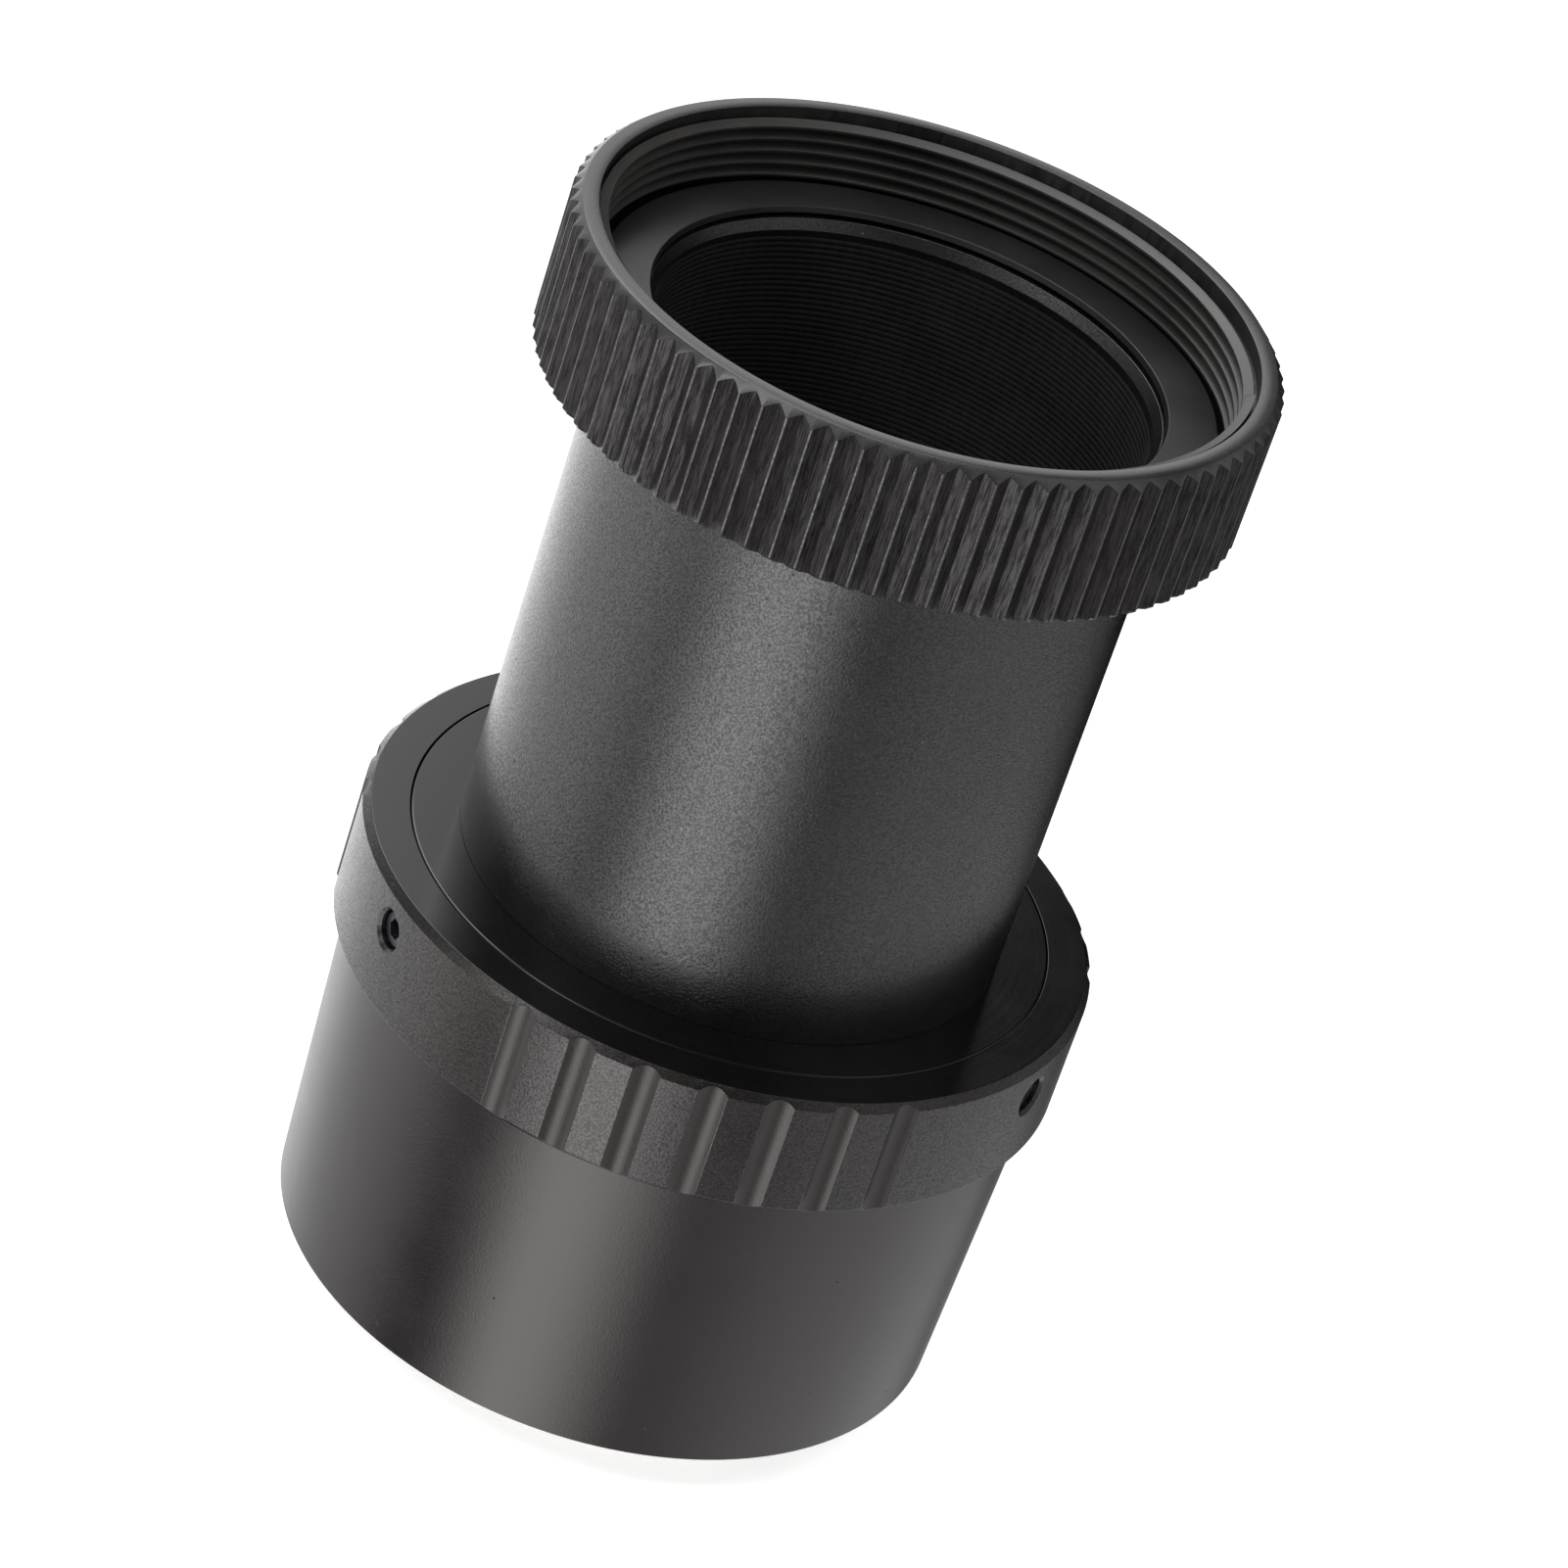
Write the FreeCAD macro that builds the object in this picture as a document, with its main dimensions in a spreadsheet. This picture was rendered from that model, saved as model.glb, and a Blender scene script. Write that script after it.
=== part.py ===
import FreeCAD, Part
import math
import os

import Sketcher

# Telescope to camera adapter. The origin is on the optical axis, in the plane that seats on the camera;
# +Z points to the telescope. All sizes are in millimetres and degrees.

doc = FreeCAD.newDocument("AdapterAssembly")

# The driving sizes. Heights ending in "Level" are measured from the camera seat.
sizes = {
    # camera-side barrel
    "barrelFootRadius": 27.7,
    "barrelHeadRadius": 28.6,
    "barrelBoreRadius": 24.6,
    "barrelLedgeRadius": 22.0,
    "barrelLedgeLevel": 2.2,
    "barrelBoreLevel": 5.2,
    "spigotRadius": 27.0,
    "spigotHeight": 2.3,
    # fluted grip ring
    "gripRadius": 30.0,
    "gripFootLevel": 26.7,
    "shoulderLevel": 37.3,
    "gripChamfer": 0.6,
    "gripFloorLevel": 30.6,
    "fluteRadius": 1.75,
    "fluteDepth": 0.42,
    "fluteSpacing": 10.1,
    "flutesPerZone": 7,
    "gripZones": 3,
    "gripTurn": -22.0,
    # threaded insert held by the three set screws
    "insertRadius": 26.2,
    "insertClearance": 0.08,
    "insertFloorGap": 0.06,
    "mountThreadRadius": 21.0,
    "mountThreadLength": 4.6,
    "mountThreadPlay": 0.03,
    "keyGrooveDepth": 0.9,
    "keyGrooveReach": 0.9,
    # set screws
    "screwLevel": 33.8,
    "screwRadius": 1.5,
    "screwHoleRadius": 1.54,
    "screwMouthRadius": 1.8,
    "screwTipReach": 25.75,
    "screwConeReach": 26.85,
    "screwHeadReach": 29.35,
    "screwTipRadius": 0.35,
    "screwSocketWidth": 1.5,
    "screwSocketDepth": 1.2,
    # tube and its screwed-on seat flange
    "tubeRadius": 22.25,
    "boreRadius": 19.65,
    "tubeThreadRadius": 21.4,
    "tubeEndLevel": 85.7,
    "tubeMouthRadius": 20.15,
    "tubeMouthDepth": 0.85,
    "flangeRadius": 24.2,
    "flangeFootLevel": 84.1,
    "flangeFaceLevel": 86.6,
    "flangeLipRadius": 20.2,
    "flangeLipHeight": 0.5,
    "flangeEdge": 0.16,
    # captive coupling ring
    "ringFootLevel": 80.3,
    "ringFaceLevel": 92.3,
    "ringRadius": 27.9,
    "ringChamfer": 0.78,
    "ringThreadRadius": 25.45,
    "counterboreRadius": 25.85,
    "counterboreDepth": 1.3,
    "lipRadius": 22.6,
    "lipTopLevel": 83.6,
    "threadReliefRadius": 26.0,
    "threadReliefLevel": 86.75,
    "knurlCount": 88,
    "knurlDepth": 0.56,
    "knurlHalfWidth": 0.87,
    "knurlPhase": 237.85,
    # camera bayonet ring and its screws
    "bayonetFlangeRadius": 26.0,
    "bayonetBoreRadius": 19.8,
    "bayonetNeckRadius": 20.6,
    "bayonetTabRadius": 21.7,
    "bayonetReach": 3.5,
    "bayonetTabHeight": 1.4,
    "bayonetTabs": 3,
    "bayonetGapAngle": 66.0,
    "pinHoleOffset": 16.55,
    "pinHoleRadius": 1.1,
    "pinHoleDepth": 1.6,
    "mountScrewReach": 24.0,
    "mountScrewCount": 4,
    "mountScrewRadius": 0.97,
    "mountHoleRadius": 1.0,
    "mountHoleDepth": 4.9,
    "mountHeadRadius": 1.85,
    "mountHeadHeight": 0.85,
    "mountHeadSink": 0.05,
    "mountScrewLength": 4.4,
}

sheet = doc.addObject("Spreadsheet::Sheet", "Sizes")
for row, (name, number) in enumerate(sizes.items(), start=1):
    sheet.set(f"A{row}", name)
    sheet.set(f"B{row}", str(number))
    sheet.setAlias(f"B{row}", name)
doc.recompute()


def value(text):
    """The number that a sum such as "tubeRadius + 0.3" stands for."""
    total = 0.0
    sign = 1.0
    for word in text.split():
        if word == "+":
            sign = 1.0
        elif word == "-":
            sign = -1.0
        else:
            total += sign * (sizes[word] if word in sizes else float(word))
    return total


def bound(text, negate=False):
    """The same sum as an expression on the sheet."""
    words = [f"Sizes.{word}" if word in sizes else word for word in text.split()]
    return f"-({' '.join(words)})" if negate else " ".join(words)


def newBody(label):
    body = doc.addObject("PartDesign::Body", label)
    body.Label = label
    return body


def plane(body, role):
    return next(item for item in body.Origin.OriginFeatures if item.Role == role)


def newSketch(body, role, name, offset=0.0):
    sketch = body.newObject("Sketcher::SketchObject", name)
    sketch.AttachmentSupport = (plane(body, role), [""])
    sketch.MapMode = "FlatFace"
    if offset:
        sketch.AttachmentOffset = FreeCAD.Placement(FreeCAD.Vector(0, 0, offset), FreeCAD.Rotation())
    return sketch


def pinCoordinate(sketch, kind, geometry, vertex, text):
    """Ties one coordinate of a vertex to the sheet."""
    size = value(text)
    if abs(size) < 1e-9:
        axis = -2 if kind == "DistanceX" else -1
        sketch.addConstraint(Sketcher.Constraint("PointOnObject", geometry, vertex, axis))
        return
    if size > 0:
        index = sketch.addConstraint(Sketcher.Constraint(kind, -1, 1, geometry, vertex, size))
        sketch.setExpression(f"Constraints[{index}]", bound(text))
    else:
        index = sketch.addConstraint(Sketcher.Constraint(kind, geometry, vertex, -1, 1, -size))
        sketch.setExpression(f"Constraints[{index}]", bound(text, negate=True))


def drawPolygon(sketch, corners):
    """A closed outline through corners, each a pair of sums on the sheet."""
    points = [FreeCAD.Vector(value(across), value(along), 0) for across, along in corners]
    first = sketch.GeometryCount
    for start, end in zip(points, points[1:] + points[:1]):
        sketch.addGeometry(Part.LineSegment(start, end), False)
    count = len(points)
    for number in range(count):
        sketch.addConstraint(
            Sketcher.Constraint("Coincident", first + number, 2, first + (number + 1) % count, 1)
        )
    for number, (across, along) in enumerate(corners):
        pinCoordinate(sketch, "DistanceX", first + number, 1, across)
        pinCoordinate(sketch, "DistanceY", first + number, 1, along)


def drawHexagon(sketch, widthName):
    """A hexagon about the origin, its width across flats tied to the sheet."""
    reach = sizes[widthName] / math.sqrt(3.0)
    rim = sketch.addGeometry(Part.Circle(FreeCAD.Vector(), FreeCAD.Vector(0, 0, 1), reach), True)
    sketch.addConstraint(Sketcher.Constraint("Coincident", rim, 3, -1, 1))
    size = sketch.addConstraint(Sketcher.Constraint("Radius", rim, reach))
    sketch.setExpression(f"Constraints[{size}]", f"Sizes.{widthName} / sqrt(3)")
    angles = [math.radians(60 * number) for number in range(6)]
    corners = [FreeCAD.Vector(reach * math.cos(angle), reach * math.sin(angle), 0) for angle in angles]
    first = sketch.GeometryCount
    for number in range(6):
        sketch.addGeometry(Part.LineSegment(corners[number], corners[(number + 1) % 6]), False)
    for number in range(6):
        following = first + (number + 1) % 6
        sketch.addConstraint(Sketcher.Constraint("Coincident", first + number, 2, following, 1))
        sketch.addConstraint(Sketcher.Constraint("PointOnObject", first + number, 1, rim))
        if number < 5:
            sketch.addConstraint(Sketcher.Constraint("Equal", first + number, following))
    sketch.addConstraint(Sketcher.Constraint("PointOnObject", first, 1, -1))


def turnedBody(label, section):
    """A body turned about the optical axis from its half section of (radius, level) corners."""
    body = newBody(label)
    sketch = newSketch(body, "XZ_Plane", f"{label}_section")
    drawPolygon(sketch, section)
    turned = body.newObject("PartDesign::Revolution", f"{label}_turned")
    turned.Profile = sketch
    turned.ReferenceAxis = (sketch, ["V_Axis"])
    turned.Angle = 360.0
    doc.recompute()
    return body


def volumeOf(body):
    doc.recompute()
    return body.Shape.Volume


def checkCut(body, before, what):
    removed = before - volumeOf(body)
    if removed <= 0.0:
        raise RuntimeError(f"{body.Label}: {what} removed nothing")
    print(f"{body.Label}: {what} removed {removed:.2f} mm3")


def patternAbout(body, feature, name, count, angle=360.0):
    """A polar pattern of one cut about the optical axis."""
    pattern = body.newObject("PartDesign::PolarPattern", name)
    pattern.Originals = [feature]
    pattern.Axis = (plane(body, "Z_Axis"), [""])
    pattern.Angle = angle
    if count in sizes:
        pattern.setExpression("Occurrences", f"Sizes.{count}")
        pattern.Occurrences = int(sizes[count])
    else:
        pattern.Occurrences = int(count)
    body.Tip = pattern
    return pattern


def turn(body, angle):
    spin = FreeCAD.Rotation(FreeCAD.Vector(0, 0, 1), angle)
    body.Placement = FreeCAD.Placement(FreeCAD.Vector(0, 0, 0), spin)


nodes = []

# Rear barrel: a slightly tapered tube with a ledge for the bayonet ring and a spigot into the grip ring.
barrel = turnedBody("rear_barrel", [
    ("bayonetFlangeRadius + 0.03", "0"),
    ("barrelFootRadius", "0"),
    ("barrelHeadRadius", "gripFootLevel"),
    ("spigotRadius - 0.02", "gripFootLevel"),
    ("spigotRadius - 0.02", "gripFootLevel + spigotHeight"),
    ("barrelBoreRadius", "gripFootLevel + spigotHeight"),
    ("barrelBoreRadius", "barrelBoreLevel"),
    ("barrelLedgeRadius", "barrelBoreLevel"),
    ("barrelLedgeRadius", "barrelLedgeLevel"),
    ("bayonetFlangeRadius + 0.03", "barrelLedgeLevel"),
])
before = volumeOf(barrel)
holeSketch = newSketch(barrel, "XY_Plane", "rear_barrel_tapping")
holeSketch.addGeometry(Part.Circle(FreeCAD.Vector(sizes["mountScrewReach"], 0, 0), FreeCAD.Vector(0, 0, 1),
                                   sizes["mountHoleRadius"]), False)
holeSketch.addConstraint(Sketcher.Constraint("PointOnObject", 0, 3, -1))
pinCoordinate(holeSketch, "DistanceX", 0, 3, "mountScrewReach")
index = holeSketch.addConstraint(Sketcher.Constraint("Radius", 0, sizes["mountHoleRadius"]))
holeSketch.setExpression(f"Constraints[{index}]", "Sizes.mountHoleRadius")
tapping = barrel.newObject("PartDesign::Pocket", "rear_barrel_tapped_hole")
tapping.Profile = holeSketch
tapping.Reversed = True
tapping.setExpression("Length", "Sizes.mountHoleDepth")
checkCut(barrel, before, "tapped hole")
patternAbout(barrel, tapping, "rear_barrel_tapped_holes", "mountScrewCount")
turn(barrel, 45.0)
nodes.append(barrel)

# Grip ring: turned ring, chamfered above and below, then the three set screw holes and the flutes of its
# three grip zones, which run out through both chamfers.
grip = turnedBody("grip_ring", [
    ("spigotRadius", "gripFootLevel"),
    ("gripRadius - gripChamfer", "gripFootLevel"),
    ("gripRadius", "gripFootLevel + gripChamfer"),
    ("gripRadius", "shoulderLevel - gripChamfer"),
    ("gripRadius - gripChamfer", "shoulderLevel"),
    ("insertRadius + insertClearance", "shoulderLevel"),
    ("insertRadius + insertClearance", "gripFloorLevel"),
    ("barrelBoreRadius", "gripFloorLevel"),
    ("barrelBoreRadius", "gripFootLevel + spigotHeight + 0.02"),
    ("spigotRadius", "gripFootLevel + spigotHeight + 0.02"),
])
before = volumeOf(grip)
screwSection = newSketch(grip, "XZ_Plane", "grip_ring_screw_section")
axis = screwSection.addGeometry(Part.LineSegment(FreeCAD.Vector(20, sizes["screwLevel"], 0),
                                                 FreeCAD.Vector(32, sizes["screwLevel"], 0)), True)
screwSection.addConstraint(Sketcher.Constraint("Horizontal", axis))
pinCoordinate(screwSection, "DistanceY", axis, 1, "screwLevel")
drawPolygon(screwSection, [
    ("barrelBoreRadius + 0.6", "screwLevel"),
    ("gripRadius + 0.6", "screwLevel"),
    ("gripRadius + 0.6", "screwLevel + screwMouthRadius + 0.6"),
    ("gripRadius - 0.25", "screwLevel + screwHoleRadius"),
    ("barrelBoreRadius + 0.6", "screwLevel + screwHoleRadius"),
])
screwHole = grip.newObject("PartDesign::Groove", "grip_ring_screw_hole")
screwHole.Profile = screwSection
screwHole.ReferenceAxis = (screwSection, ["Axis0"])
screwHole.Angle = 360.0
checkCut(grip, before, "set screw hole")
holes = patternAbout(grip, screwHole, "grip_ring_screw_holes", "gripZones")
before = volumeOf(grip)
fluteSketch = newSketch(grip, "XY_Plane", "grip_ring_flute_circle")
fluteReach = sizes["gripRadius"] - sizes["fluteDepth"] + sizes["fluteRadius"]
fluteTurn = math.radians(60.0 - sizes["fluteSpacing"] * (sizes["flutesPerZone"] - 1) / 2)
fluteSketch.addGeometry(Part.LineSegment(FreeCAD.Vector(0, 0, 0),
                                         FreeCAD.Vector(fluteReach * math.cos(fluteTurn),
                                                        fluteReach * math.sin(fluteTurn), 0)), True)
fluteSketch.addConstraint(Sketcher.Constraint("Coincident", 0, 1, -1, 1))
index = fluteSketch.addConstraint(Sketcher.Constraint("Distance", 0, fluteReach))
fluteSketch.setExpression(f"Constraints[{index}]",
                          "Sizes.gripRadius - Sizes.fluteDepth + Sizes.fluteRadius")
index = fluteSketch.addConstraint(Sketcher.Constraint("Angle", 0, fluteTurn))
fluteSketch.setExpression(f"Constraints[{index}]",
                          "(60 - Sizes.fluteSpacing * (Sizes.flutesPerZone - 1) / 2) * 1 deg")
fluteSketch.addGeometry(Part.Circle(FreeCAD.Vector(fluteReach * math.cos(fluteTurn),
                                                   fluteReach * math.sin(fluteTurn), 0),
                                    FreeCAD.Vector(0, 0, 1), sizes["fluteRadius"]), False)
fluteSketch.addConstraint(Sketcher.Constraint("Coincident", 1, 3, 0, 2))
index = fluteSketch.addConstraint(Sketcher.Constraint("Radius", 1, sizes["fluteRadius"]))
fluteSketch.setExpression(f"Constraints[{index}]", "Sizes.fluteRadius")
flute = grip.newObject("PartDesign::Pocket", "grip_ring_flute")
flute.Profile = fluteSketch
flute.Type = "ThroughAll"
flute.Reversed = True
checkCut(grip, before, "first flute")
before = volumeOf(grip)
flutes = grip.newObject("PartDesign::MultiTransform", "grip_ring_flutes")
flutes.Originals = [flute]
alongZone = grip.newObject("PartDesign::PolarPattern", "grip_ring_zone")
alongZone.Axis = (plane(grip, "Z_Axis"), [""])
alongZone.Angle = sizes["fluteSpacing"] * (sizes["flutesPerZone"] - 1)
alongZone.setExpression("Angle", "Sizes.fluteSpacing * (Sizes.flutesPerZone - 1) * 1 deg")
alongZone.Occurrences = int(sizes["flutesPerZone"])
aroundRing = grip.newObject("PartDesign::PolarPattern", "grip_ring_zones")
aroundRing.Axis = (plane(grip, "Z_Axis"), [""])
aroundRing.Angle = 360.0
aroundRing.Occurrences = int(sizes["gripZones"])
flutes.Transformations = [alongZone, aroundRing]
grip.Tip = flutes
checkCut(grip, before, "other flutes")
turn(grip, sizes["gripTurn"])
nodes.append(grip)

# Threaded insert: its outside carries the V groove that the set screw points press into.
insert = turnedBody("t_thread_insert", [
    ("mountThreadRadius", "gripFloorLevel + insertFloorGap"),
    ("insertRadius", "gripFloorLevel + insertFloorGap"),
    ("insertRadius", "screwLevel - keyGrooveReach"),
    ("insertRadius - keyGrooveDepth", "screwLevel"),
    ("insertRadius", "screwLevel + keyGrooveReach"),
    ("insertRadius", "shoulderLevel"),
    ("mountThreadRadius", "shoulderLevel"),
])
nodes.append(insert)


def setScrew(label, angle):
    """A socket set screw, turned about its own axis, then swung to its place round the grip ring."""
    body = newBody(label)
    section = newSketch(body, "XZ_Plane", f"{label}_section")
    drawPolygon(section, [
        ("screwTipReach", "0"),
        ("screwHeadReach", "0"),
        ("screwHeadReach", "screwRadius"),
        ("screwConeReach", "screwRadius"),
        ("screwTipReach", "screwTipRadius"),
    ])
    turned = body.newObject("PartDesign::Revolution", f"{label}_turned")
    turned.Profile = section
    turned.ReferenceAxis = (section, ["H_Axis"])
    turned.Angle = 360.0
    whole = volumeOf(body)
    socketSketch = newSketch(body, "YZ_Plane", f"{label}_socket_outline", sizes["screwHeadReach"])
    socketSketch.setExpression("AttachmentOffset.Base.z", "Sizes.screwHeadReach")
    drawHexagon(socketSketch, "screwSocketWidth")
    socket = body.newObject("PartDesign::Pocket", f"{label}_socket")
    socket.Profile = socketSketch
    socket.setExpression("Length", "Sizes.screwSocketDepth")
    checkCut(body, whole, "socket")
    body.Placement = FreeCAD.Placement(
        FreeCAD.Vector(0, 0, sizes["screwLevel"]), FreeCAD.Rotation(FreeCAD.Vector(0, 0, 1), angle)
    )
    nodes.append(body)


for number in range(3):
    setScrew(f"set_screw_{number + 1}", sizes["gripTurn"] + 120.0 * number)

# Tube: shoulder and mount thread below, plain outside, bored through, stepped end for the seat flange.
tube = turnedBody("adapter_tube", [
    ("boreRadius", "shoulderLevel - mountThreadLength"),
    ("mountThreadRadius - mountThreadPlay", "shoulderLevel - mountThreadLength"),
    ("mountThreadRadius - mountThreadPlay", "shoulderLevel"),
    ("tubeRadius", "shoulderLevel"),
    ("tubeRadius", "flangeFootLevel"),
    ("tubeThreadRadius", "flangeFootLevel"),
    ("tubeThreadRadius", "tubeEndLevel"),
    ("tubeMouthRadius", "tubeEndLevel"),
    ("boreRadius", "tubeEndLevel - tubeMouthDepth"),
])
nodes.append(tube)

# Seat flange: a ring screwed over the tube end, whose thin lip stands just clear of it.
flange = turnedBody("seat_flange", [
    ("tubeThreadRadius + 0.02", "flangeFootLevel"),
    ("flangeRadius", "flangeFootLevel"),
    ("flangeRadius", "flangeFaceLevel"),
    ("flangeLipRadius + flangeEdge", "flangeFaceLevel"),
    ("flangeLipRadius", "flangeFaceLevel - flangeLipHeight"),
    ("tubeThreadRadius + 0.02", "flangeFaceLevel - flangeLipHeight"),
])
nodes.append(flange)

# Coupling ring: turned with an inward lip that holds it on the flange and a relief below its thread, then
# knurled with V grooves that run out through the top chamfer, so that each ends in a pointed arch.
ring = turnedBody("coupling_ring", [
    ("lipRadius", "ringFootLevel"),
    ("ringRadius", "ringFootLevel"),
    ("ringRadius", "ringFaceLevel - ringChamfer"),
    ("ringRadius - ringChamfer", "ringFaceLevel"),
    ("counterboreRadius", "ringFaceLevel"),
    ("counterboreRadius", "ringFaceLevel - counterboreDepth"),
    ("ringThreadRadius", "ringFaceLevel - counterboreDepth"),
    ("ringThreadRadius", "threadReliefLevel"),
    ("threadReliefRadius", "threadReliefLevel"),
    ("threadReliefRadius", "lipTopLevel"),
    ("lipRadius", "lipTopLevel"),
])
before = volumeOf(ring)
knurlSketch = newSketch(ring, "XY_Plane", "coupling_ring_knurl_form")
drawPolygon(knurlSketch, [
    ("ringRadius - knurlDepth", "0"),
    ("ringRadius + knurlDepth", "0 - knurlHalfWidth - knurlHalfWidth"),
    ("ringRadius + knurlDepth", "knurlHalfWidth + knurlHalfWidth"),
])
knurl = ring.newObject("PartDesign::Pocket", "coupling_ring_knurl")
knurl.Profile = knurlSketch
knurl.Type = "ThroughAll"
knurl.Reversed = True
checkCut(ring, before, "first knurl groove")
before = volumeOf(ring)
patternAbout(ring, knurl, "coupling_ring_knurling", "knurlCount")
checkCut(ring, before, "knurling")
turn(ring, sizes["knurlPhase"])
nodes.append(ring)

# Bayonet ring: flange, neck, and three lugs left standing where gaps are cut from a full rim.
bayonet = turnedBody("bayonet_mount", [
    ("bayonetBoreRadius", "0 - bayonetReach"),
    ("bayonetTabRadius", "0 - bayonetReach"),
    ("bayonetTabRadius", "bayonetTabHeight - bayonetReach"),
    ("bayonetNeckRadius", "bayonetTabHeight - bayonetReach"),
    ("bayonetNeckRadius", "0"),
    ("bayonetFlangeRadius", "0"),
    ("bayonetFlangeRadius", "barrelLedgeLevel"),
    ("bayonetBoreRadius", "barrelLedgeLevel"),
])
before = volumeOf(bayonet)
gapSketch = newSketch(bayonet, "XY_Plane", "bayonet_mount_gap_outline", -sizes["bayonetReach"])
gapSketch.setExpression("AttachmentOffset.Base.z", "-Sizes.bayonetReach")
half = math.radians(sizes["bayonetGapAngle"] / 2)
inner = sizes["bayonetNeckRadius"]
outer = sizes["bayonetTabRadius"] + 1.0
corners = [FreeCAD.Vector(reach * math.cos(side), reach * math.sin(side), 0)
           for reach, side in ((inner, -half), (outer, -half), (outer, half), (inner, half))]
for reach in (inner, outer):
    rim = Part.Circle(FreeCAD.Vector(), FreeCAD.Vector(0, 0, 1), reach)
    gapSketch.addGeometry(Part.ArcOfCircle(rim, -half, half), False)
gapSketch.addGeometry(Part.LineSegment(corners[0], corners[1]), False)
gapSketch.addGeometry(Part.LineSegment(corners[3], corners[2]), False)
for first, firstEnd, second, secondEnd in ((0, 1, 2, 1), (1, 1, 2, 2), (0, 2, 3, 1), (1, 2, 3, 2)):
    gapSketch.addConstraint(Sketcher.Constraint("Coincident", first, firstEnd, second, secondEnd))
gapSketch.addConstraint(Sketcher.Constraint("Coincident", 0, 3, -1, 1))
gapSketch.addConstraint(Sketcher.Constraint("Coincident", 1, 3, -1, 1))
index = gapSketch.addConstraint(Sketcher.Constraint("Radius", 0, inner))
gapSketch.setExpression(f"Constraints[{index}]", "Sizes.bayonetNeckRadius")
index = gapSketch.addConstraint(Sketcher.Constraint("Radius", 1, outer))
gapSketch.setExpression(f"Constraints[{index}]", "Sizes.bayonetTabRadius + 1")
gap = bayonet.newObject("PartDesign::Pocket", "bayonet_mount_gap")
gap.Profile = gapSketch
gap.Reversed = True
gap.setExpression("Length", "Sizes.bayonetTabHeight")
checkCut(bayonet, before, "gap between lugs")
patternAbout(bayonet, gap, "bayonet_mount_gaps", "bayonetTabs")
before = volumeOf(bayonet)
# The lock pin hole sits midway between two screw holes, equally far along both axes of the sketch.
pinSketch = newSketch(bayonet, "XY_Plane", "bayonet_mount_pin_outline")
pinCentre = FreeCAD.Vector(sizes["pinHoleOffset"], sizes["pinHoleOffset"], 0)
pinSketch.addGeometry(Part.Circle(pinCentre, FreeCAD.Vector(0, 0, 1), sizes["pinHoleRadius"]), False)
pinCoordinate(pinSketch, "DistanceX", 0, 3, "pinHoleOffset")
pinCoordinate(pinSketch, "DistanceY", 0, 3, "pinHoleOffset")
index = pinSketch.addConstraint(Sketcher.Constraint("Radius", 0, sizes["pinHoleRadius"]))
pinSketch.setExpression(f"Constraints[{index}]", "Sizes.pinHoleRadius")
pinHole = bayonet.newObject("PartDesign::Pocket", "bayonet_mount_lock_pin_hole")
pinHole.Profile = pinSketch
pinHole.Reversed = True
pinHole.setExpression("Length", "Sizes.pinHoleDepth")
bayonet.Tip = pinHole
checkCut(bayonet, before, "lock pin hole")
before = volumeOf(bayonet)
sinkSection = newSketch(bayonet, "YZ_Plane", "bayonet_mount_screw_section")
axis = sinkSection.addGeometry(Part.LineSegment(FreeCAD.Vector(sizes["mountScrewReach"], -1, 0),
                                                FreeCAD.Vector(sizes["mountScrewReach"], 3, 0)), True)
sinkSection.addConstraint(Sketcher.Constraint("Vertical", axis))
pinCoordinate(sinkSection, "DistanceX", axis, 1, "mountScrewReach")
drawPolygon(sinkSection, [
    ("mountScrewReach", "0"),
    ("mountScrewReach + mountHeadRadius + 0.05", "0"),
    ("mountScrewReach + mountHoleRadius + 0.05", "mountHeadHeight"),
    ("mountScrewReach + mountHoleRadius + 0.05", "barrelLedgeLevel"),
    ("mountScrewReach", "barrelLedgeLevel"),
])
sink = bayonet.newObject("PartDesign::Groove", "bayonet_mount_screw_hole")
sink.Profile = sinkSection
sink.ReferenceAxis = (sinkSection, ["Axis0"])
sink.Angle = 360.0
bayonet.Tip = sink
checkCut(bayonet, before, "countersunk hole")
patternAbout(bayonet, sink, "bayonet_mount_screw_holes", "mountScrewCount")
turn(bayonet, 45.0)
nodes.append(bayonet)

# Four countersunk screws of the bayonet ring, each its own solid.
screws = []
for number in range(int(sizes["mountScrewCount"])):
    head = doc.addObject("Part::Cone", f"mount_screw_head_{number + 1}")
    head.setExpression("Radius1", "Sizes.mountHeadRadius")
    head.setExpression("Radius2", "Sizes.mountScrewRadius")
    head.setExpression("Height", "Sizes.mountHeadHeight")
    shank = doc.addObject("Part::Cylinder", f"mount_screw_shank_{number + 1}")
    shank.setExpression("Radius", "Sizes.mountScrewRadius")
    shank.setExpression("Height", "Sizes.mountScrewLength")
    screw = doc.addObject("Part::Fuse", f"mount_screw_{number + 1}")
    screw.Base = head
    screw.Tool = shank
    angle = math.radians(45.0 + 90.0 * number)
    across = sizes["mountScrewReach"] * math.cos(angle)
    along = sizes["mountScrewReach"] * math.sin(angle)
    centre = FreeCAD.Vector(across, along, sizes["mountHeadSink"])
    screw.Placement = FreeCAD.Placement(centre, FreeCAD.Rotation())
    screws.append(screw)
screwSet = doc.addObject("Part::Compound", "bayonet_screws")
screwSet.Label = "bayonet_screws"
screwSet.Links = screws
nodes.append(screwSet)

doc.recompute()
for item in doc.Objects:
    if "Invalid" in item.State or "Error" in item.State:
        raise RuntimeError(f"{item.Label} failed: {item.State}")
for node in nodes:
    if node.Shape.isNull() or not node.Shape.isValid():
        raise RuntimeError(f"{node.Label} has no valid shape")

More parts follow.
